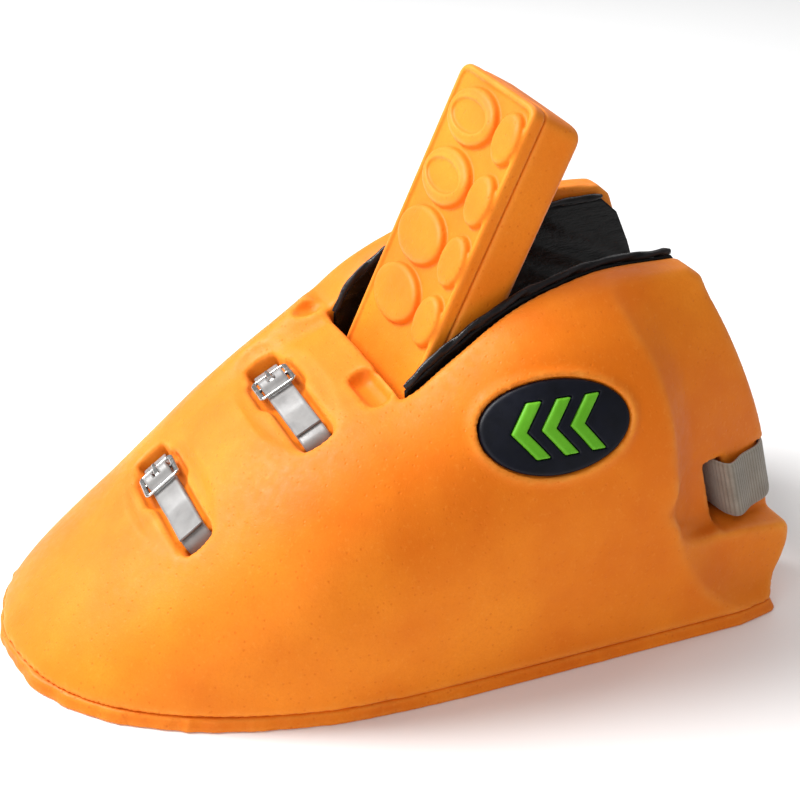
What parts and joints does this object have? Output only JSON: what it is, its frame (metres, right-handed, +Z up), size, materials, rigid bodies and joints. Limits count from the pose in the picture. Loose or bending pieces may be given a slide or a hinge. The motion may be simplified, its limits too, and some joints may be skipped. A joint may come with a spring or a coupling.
{
  "type": "hockey goalkeeper foam kicker",
  "caption": "Moulded foam foot guard worn over a shoe, with a hinged studded tongue, buckled straps under the sole and a webbing heel strap.",
  "frame": {"origin": "on the ground, at the middle of the overall length and width", "axes": "+Z up, toe towards -Y, heel towards +Y, outer (lateral) side of the left foot towards +X"},
  "size_m": [0.225, 0.3699, 0.2492],
  "materials": {
    "orange_foam": "satin, fine skin grain of moulded closed-cell foam",
    "black_lining": "glossy coated fabric, wrinkled",
    "silver_strap": "silver coated strap, satin",
    "buckle_steel": "polished",
    "grey_webbing": "ribbed woven webbing",
    "black_plastic": "matt",
    "navy_plastic": "semi-gloss",
    "green_plastic": "semi-gloss"
  },
  "bodies": {
    "kicker": {"foam_shell": "orange_foam", "base_layer": "orange_foam", "lining_lateral": "black_lining", "lining_medial": "black_lining", "rim_binding_lateral": "black_lining", "rim_binding_medial": "black_lining", "tongue_hinge_strip": "black_lining", "toe_strap": "silver_strap", "instep_strap": "silver_strap", "toe_buckle_frame": "buckle_steel", "instep_buckle_frame": "buckle_steel", "heel_strap": "grey_webbing", "heel_strap_keeper_lateral": "black_plastic", "heel_strap_keeper_medial": "black_plastic", "badge_plate": "navy_plastic", "badge_chevron_1": "green_plastic", "badge_chevron_2": "green_plastic", "badge_chevron_3": "green_plastic"},
    "tongue": {"tongue_face": "orange_foam", "tongue_block": "orange_foam"},
    "toe_prong": {"toe_buckle_prong": "buckle_steel"},
    "instep_prong": {"instep_buckle_prong": "buckle_steel"}
  },
  "joints": [
    {"name": "tongue_tilt", "type": "hinge", "parent": "kicker", "child": "tongue", "pos_m": [0, -0.008, 0.0995], "axis": [-1, 0, 0], "range_deg": [-9, 35]},
    {"name": "toe_prong_swing", "type": "hinge", "parent": "kicker", "child": "toe_prong", "pos_m": [-0.017, -0.10313, 0.06978], "axis": [0, 0.8141, 0.5807], "range_deg": [0, 65]},
    {"name": "instep_prong_swing", "type": "hinge", "parent": "kicker", "child": "instep_prong", "pos_m": [-0.017, -0.0443, 0.10878], "axis": [0, 0.8829, 0.4695], "range_deg": [0, 65]}
  ]
}
